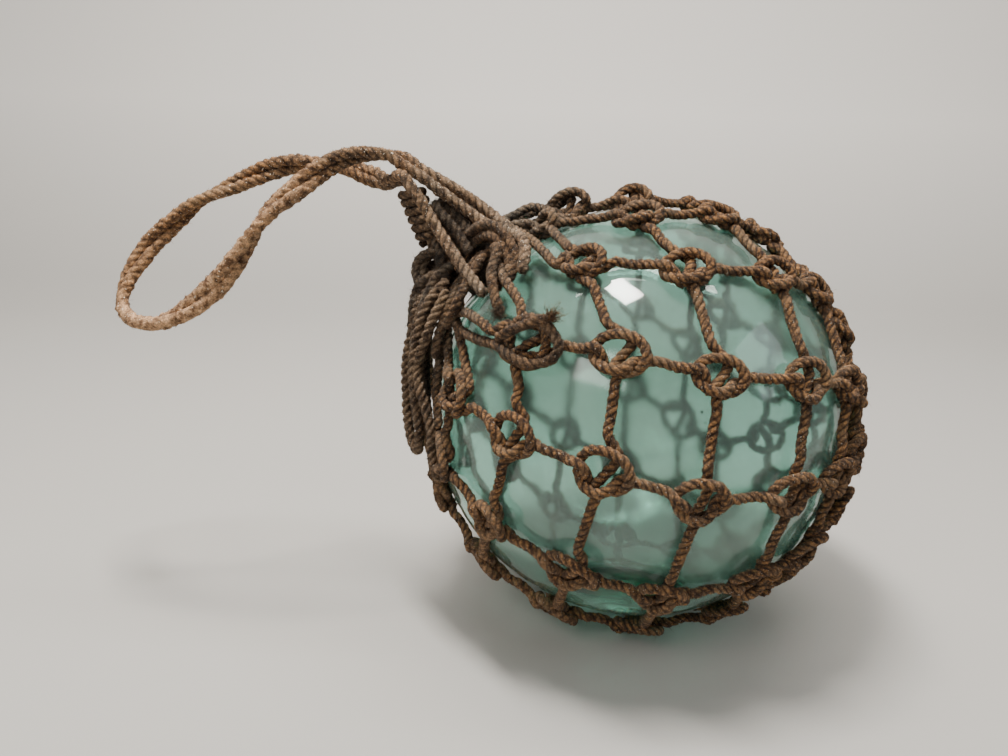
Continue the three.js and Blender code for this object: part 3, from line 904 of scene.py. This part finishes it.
def glass_material():
    """Old aqua glass: clear, with a film of dirt that dulls and blurs it in patches.

    Fine rings from the blowing iron run round its axis near both poles.
    """
    graph = Graph("float_glass")
    patches = graph.ramp(graph.noise(9, 6, 0.62), (0.42, BLACK), (0.70, WHITE))
    specks = graph.ramp(graph.noise(300, 3, 0.7), (0.68, BLACK), (0.74, WHITE))
    dirt = graph.math("ADD", graph.times(patches, 0.5), graph.times(specks, 0.35), True)
    tone = graph.mix(dirt, AQUA, FILM)
    blur = graph.add("ShaderNodeMapRange", Value=dirt, To_Min=0.045, To_Max=0.22)

    from_centre = graph.vector("SUBTRACT", graph.position, CENTRE, "Vector")
    height = graph.vector("DOT_PRODUCT", from_centre, SEAL / (RADIUS * MM), "Value")
    swirl = graph.noise(16, 3, 0.5)
    phase = graph.plus(graph.times(height, GLASS_RINGING), graph.times(swirl, 9.0))
    poles = graph.math("POWER", graph.math("ABSOLUTE", height), 5.0)
    rings = graph.times(graph.math("SINE", phase), poles)
    relief = graph.plus(graph.times(rings, 0.10), swirl)

    absorb = graph.add("ShaderNodeVolumeAbsorption", Color=(0.08, 0.82, 0.68), Density=60)
    graph.fill(graph.nodes["Material Output"], Volume=absorb.outputs["Volume"])
    return graph.finish(relief, 0.0024, 0.25, Base_Color=tone, Transmission_Weight=0.92, IOR=1.5,
                        Roughness=blur.outputs["Result"])


# The glass -------------------------------------------------

SHELL = RADIUS - 0.7                        # radius of the outside, a little under the solid's
WALL = 4.5
SEAL_WIDTH = 0.20                           # angle over which the glass thickens, radians
SEAL_THICKNESS = 12
GLASS_RINGS = 96
GLASS_SIDES = 160
BUBBLES = 70
BUBBLE_RINGS = 6
BUBBLE_SIDES = 8


def glass_shell(radius_at):
    """Points of a round skin in rings about the seal's axis."""
    along = unit(np.cross(SEAL, [0, 0, 1]))
    across = np.cross(SEAL, along)
    points = [SEAL * radius_at(SEAL, 0)]
    for ring in range(1, GLASS_RINGS):
        polar = math.pi * ring / GLASS_RINGS
        for side in range(GLASS_SIDES):
            turn = TAU * side / GLASS_SIDES
            direction = (SEAL * math.cos(polar)
                         + (along * math.cos(turn) + across * math.sin(turn)) * math.sin(polar))
            points.append(direction * radius_at(direction, polar))
    points.append(-SEAL * radius_at(-SEAL, math.pi))
    return points


def outer_radius(direction, polar):
    ripple = noise.noise(Vector(direction * 2.2)) * 0.25
    button = 1.2 * math.exp(-(polar / 0.07) ** 2)
    return SHELL + ripple + button


def inner_radius(direction, polar):
    wall = WALL + 0.45 * noise.noise(Vector(direction * 2.6 + np.array([5, 0, 0])))
    wall += 0.2 * math.sin(24 * polar) * math.exp(-((polar - 2.45) / 0.35) ** 2)
    wall += SEAL_THICKNESS * math.exp(-(polar / SEAL_WIDTH) ** 2)
    return SHELL - wall


def bubble(centre, radii, turn):
    """Points of a small egg shape."""
    points = [centre + np.array([0, 0, radii[2]])]
    for ring in range(1, BUBBLE_RINGS):
        polar = math.pi * ring / BUBBLE_RINGS
        for side in range(BUBBLE_SIDES):
            azimuth = TAU * side / BUBBLE_SIDES + turn
            offset = (radii[0] * math.sin(polar) * math.cos(azimuth),
                      radii[1] * math.sin(polar) * math.sin(azimuth), radii[2] * math.cos(polar))
            points.append(centre + np.array(offset))
    points.append(centre - np.array([0, 0, radii[2]]))
    return points


def make_glass():
    """The hollow ball: its outside, its inside and the bubbles in its wall."""
    points, faces = [], []

    def add(skin, skin_of):
        faces.extend(tuple(i + len(points) for i in face) for face in skin_of)
        points.extend(skin)

    add(glass_shell(outer_radius), skin_faces(GLASS_RINGS - 1, GLASS_SIDES))
    add(glass_shell(inner_radius), skin_faces(GLASS_RINGS - 1, GLASS_SIDES, reverse=True))
    for _ in range(BUBBLES):
        direction = unit(rng.normal(size=3))
        size = rng.uniform(0.25, 0.9)
        radii = (size, size, size * rng.uniform(0.8, 1.5))
        skin = bubble(direction * (SHELL - WALL * 0.5), radii, rng.uniform(0, TAU))
        add(skin, skin_faces(BUBBLE_RINGS - 1, BUBBLE_SIDES, reverse=True))
    obj = make_object("float_glass", np.array(points), faces, glass_material())
    finish_piece(obj, "glass", "glass_ball")


# The net's ropes -------------------------------------------

PIECE_LIMIT = 105000      # triangles of rope in one piece of the net, before its fibres


def net_chains():
    """The net's ropes from end to end, each a list of points."""
    knots, far = make_lattice()
    for knot in knots:
        orient(knot)
    far.along, far.across = NECK_ALONG, np.cross(far.direction, NECK_ALONG)
    far.room = min(RADIUS * math.acos(p[0].direction @ far.direction) for p in far.ports.values())
    used, chains = set(), []

    def follow(knot, port, route):
        """Carries a rope on from a knot's port until it ends."""
        while True:
            used.add((knot, port))
            route += clear_of(knot, port)
            points, leave = passage(knot, port)
            route += points
            if leave is None:
                return route
            used.add((knot, leave))
            if knot.ports[leave] is None:
                return route + clear_of(knot, leave) + neck_route(knot, leave)
            out = port_exit(knot, leave)
            other, other_port = knot.ports[leave]
            route.append(out)
            route += along_glass(out, port_exit(other, other_port))
            if other is far:
                return route + far_end(far, other_port)
            if (other, other_port) in used:
                return route + [port_exit(other, other_port)]
            knot, port = other, other_port

    for knot in knots:
        for port in ("left", "top", "bottom"):
            if knot.ports[port] is None and (knot, port) not in used:
                chains.append(follow(knot, port, neck_route(knot, port)[::-1]))
    for knot in knots:
        if "tuck" in knot.ports and (knot, "tuck") not in used:
            other, other_port = knot.ports["tuck"]
            out = port_exit(other, other_port)
            start = [out] + along_glass(out, port_exit(knot, "tuck"))
            if (other, other_port) not in used:
                continue
            chains.append(follow(knot, "tuck", start))
    for knot in knots:
        for port in ("left", "bottom"):
            if (knot, port) not in used:
                chains.append(follow(knot, port, []))
    chains.append(far_ring(far))
    return chains


def far_end(far, port):
    """A rope's end, tucked under the far pole's ring."""
    toward = far.ports[port][0].direction
    flat = unit(toward - far.direction * (toward @ far.direction))
    return [
        unit(far.direction * RADIUS + flat * NET_ROPE * reach) * off_glass(height)
        for reach, height in ((3.2, 0.55), (2.2, 0.5), (1.3, 0.7), (0.7, 1.2))
    ]


def far_ring(far):
    """Two turns of rope round the ends at the far pole."""
    route = []
    for share in np.linspace(0, 1, 34):
        angle = TAU * 2.1 * share
        reach = 2.3 - 0.35 * share
        height = 1.45 + 0.8 * share
        route.append(over_knot(far, reach * math.cos(angle), reach * math.sin(angle), height))
    return route


def make_net():
    """The net with its knots, in a few pieces."""
    material = rope_material("net_rope", 0.75, 0.45)
    pieces, ropes = [], Ropes(net_age, net_mud)
    for chain in net_chains():
        ropes.lay(smooth(chain), ROPE_WIDTH)
        if ropes.triangles() > PIECE_LIMIT:
            pieces.append(ropes)
            ropes = Ropes(net_age, net_mud)
    pieces.append(ropes)
    for number, piece in enumerate(pieces, 1):
        piece.fibres(11500, 1.6, 0.12, tone=0.08)
        piece.fibres(900, 4.5, 0.10, joints=2, tone=0.1)
        finish_piece(piece.build(f"net_ropes_{number}", material), "net_rope", "net")


def make_neck():
    """What fills and hangs about the neck: its matted core, bights and tails."""
    ropes = Ropes(neck_age, steady(0.08, 0.2), crust=0.09)
    for route in NECK_BIGHTS.values():
        ropes.lay(smooth(route), ROPE_WIDTH)
    for root, direction, tone in NECK_TUFTS:
        ropes.tuft(root, direction, tone)
    ropes.fibres(9000, 2.0, 0.13, tone=0.2)
    ropes.fibres(600, 5, 0.11, joints=2, tone=0.2)
    neck_rope = rope_material("neck_rope", 0.5, 0.45, 0.82)
    finish_piece(ropes.build("neck_ropes", neck_rope), "net_rope", "net")

    matted = Ropes(steady(0.8, 0.4), steady(0.0, 0.1), crust=0.22, relief=0.5)
    points, outward, faces, crown = gather_core()
    matted.add(points, outward, faces, crown, matted.age(points), 0.0)
    for route in MATTED:
        matted.lay(smooth(route), 8)
    matted.fibres(14000, 2.8, 0.15, tone=0.35, stray=0.7)
    matted.fibres(1400, 5.5, 0.12, joints=2, tone=0.2)
    core_rope = rope_material("matted_rope", 0.4, 0.3, 0.62)
    finish_piece(matted.build("neck_core", core_rope), "net_rope", "net")


# The becket and what is tied to it -------------------------

def pair_paths(route, spacing, lay, start):
    """Two paths laid round each other along the route."""
    path = spaced(smooth(route), 3)
    tangents, normals, binormals = frames(path)
    turn = TAU * 3 * np.arange(len(path)) / lay + start
    offset = (np.cos(turn)[:, None] * normals + np.sin(turn)[:, None] * binormals) * spacing / 2
    return path + offset, path - offset


def becket_paths():
    """The becket's two ropes, each from its first leg at the neck round to its second."""
    first, second = pair_paths(BECKET_ROUTE, PAIR_SPACING, PAIR_LAY, PAIR_START)
    for pair, leaving, arriving in (
        (first, COIL_LEG, INNER_LEG),
        (second, DIAGONAL_LEG, OUTER_LEG),
    ):
        yield smooth(leaving[::-1] + [tuple(p) for p in pair[6:-7:5]] + arriving)


def make_becket():
    material = rope_material("becket_rope", 0.5, 0.8, 1.7)
    ropes = Ropes(becket_age, becket_mud, crust=0.075, relief=0.42)
    for path in becket_paths():
        ropes.lay(path, BECKET_ROPE)
    ropes.fibres(6500, 1.4, 0.11, tone=0.05)
    ropes.fibres(500, 3.6, 0.10, joints=2, tone=0.1)
    finish_piece(ropes.build("becket_ropes", material), "becket_rope", "becket")


def make_coil():
    """Turns of rope wound tight on the becket's leg."""
    axis = unit(COIL_TOP - COIL_FOOT)
    along = unit(np.cross(axis, [0, 1, 0]))
    across = np.cross(axis, along)
    radius = (BECKET_ROPE + COIL_ROPE) / 2
    route = []
    points_per_turn = 12
    steps = COIL_TURNS * points_per_turn
    for i in range(steps + 1):
        angle = TAU * i / points_per_turn
        centre = COIL_TOP + (COIL_FOOT - COIL_TOP) * i / steps
        route.append(centre + radius * (along * math.cos(angle) + across * math.sin(angle)))
    ropes = Ropes(steady(0.5), steady(0.1), crust=0.09)
    ropes.lay(smooth(route, 4), COIL_ROPE)
    ropes.fibres(1200, 1.6, 0.11, tone=0.2)
    material = rope_material("coil_rope", 0.35, 0.35, 1.0)
    finish_piece(ropes.build("coil_turns", material), "coil_rope", "coil")


def make_head_ropes():
    ropes = Ropes(steady(0.66, 0.3), steady(0.08, 0.25), crust=0.05, relief=0.9)
    for route in (HEAD_LOOP, HEAD_TAIL):
        ropes.lay(smooth(route), HEAD_ROPE)
    ropes.fibres(3000, 1.6, 0.11, tone=0.3)
    material = rope_material("head_rope", 0.3, 0.35, 1.4)
    finish_piece(ropes.build("head_ropes", material), "head_rope", "head_rope")


# Stage -----------------------------------------------------

CAMERA_PLACE = (-98.67, -643.5, 221.98)
CAMERA_PITCH = math.radians(-17.3)
CAMERA_ROLL = math.radians(2.0)


def make_camera():
    """The photograph's place, pitch and roll, from its 27 mm-class phone lens."""
    camera = bpy.data.objects.new("camera", bpy.data.cameras.new("camera"))
    camera.data.sensor_width = 36
    camera.data.lens = 32.4
    pitched = Matrix.Rotation(math.pi / 2 + CAMERA_PITCH, 4, "X")
    turned = pitched @ Matrix.Rotation(CAMERA_ROLL, 4, "Z")
    camera.matrix_world = Matrix.Translation(place(CAMERA_PLACE)) @ turned
    bpy.context.scene.collection.objects.link(camera)
    bpy.context.scene.camera = camera


def stage_material():
    """Plain pale paint, a little deeper in tone on the floor than on the wall."""
    graph = Graph("backdrop")
    height = graph.add("ShaderNodeSeparateXYZ", Vector=graph.position).outputs["Z"]
    tone = graph.ramp(height, (0.02, FLOOR_TONE), (0.35, WALL_TONE))
    tone = graph.mix(graph.times(graph.noise(3), 0.06), tone, FLOOR_TONE)
    return graph.finish(Base_Color=tone, Roughness=0.85)


def make_stage():
    """A pale floor that curves up into a backdrop."""
    floor, back, bend, wide = -0.0005, 1.5, 0.6, 4.0
    outline = [(-4.0, floor), (back - bend, floor)]
    outline += [
        (back - bend + bend * math.sin(a), floor + bend * (1 - math.cos(a)))
        for a in np.linspace(0.1, math.pi / 2, 14)
    ]
    outline.append((back, 4.0))
    mesh = bpy.data.meshes.new("backdrop")
    points = [(side * wide, y, z) for y, z in outline for side in (-1, 1)]
    faces = [(2 * i, 2 * i + 1, 2 * i + 3, 2 * i + 2) for i in range(len(outline) - 1)]
    mesh.from_pydata(points, [], faces)
    mesh.polygons.foreach_set("use_smooth", [True] * len(faces))
    mesh.materials.append(stage_material())
    backdrop = bpy.data.objects.new("backdrop", mesh)
    bpy.context.scene.collection.objects.link(backdrop)


def make_light(name, size, energy, location, target, colour):
    """A soft rectangular light that points at its target."""
    light = bpy.data.lights.new(name, "AREA")
    light.shape = "RECTANGLE"
    light.size, light.size_y = size
    light.energy = energy
    light.color = colour
    obj = bpy.data.objects.new(name, light)
    obj.location = location
    direction = Vector(target) - Vector(location)
    obj.rotation_euler = direction.to_track_quat("-Z", "Y").to_euler()
    bpy.context.scene.collection.objects.link(obj)


def make_lights():
    warm, cool = (1.0, 0.95, 0.88), (0.93, 0.97, 1.0)
    make_light("top_light", (0.38, 0.20), 22, (-0.24, -0.14, 1.35), (0, 0, 0.1), warm)
    make_light("front_light", (1.0, 0.7), 14, (-0.9, -1.5, 1.5), (0, 0, 0.15), warm)
    make_light("side_light", (0.9, 0.9), 5, (1.7, -0.5, 1.1), (0, 0, 0.15), cool)
    make_light("wall_light", (1.8, 0.5), 34, (0.0, 0.15, 1.9), (0, 1.5, 0.5), warm)
    world = bpy.data.worlds.new("world")
    world.use_nodes = True
    background = world.node_tree.nodes["Background"]
    background.inputs["Color"].default_value = (1.0, 0.98, 0.95, 1)
    background.inputs["Strength"].default_value = 0.28
    bpy.context.scene.world = world


make_camera()
make_stage()
make_lights()
make_glass()
make_net()
make_neck()
make_becket()
make_coil()
make_head_ropes()

bpy.context.view_layer.update()
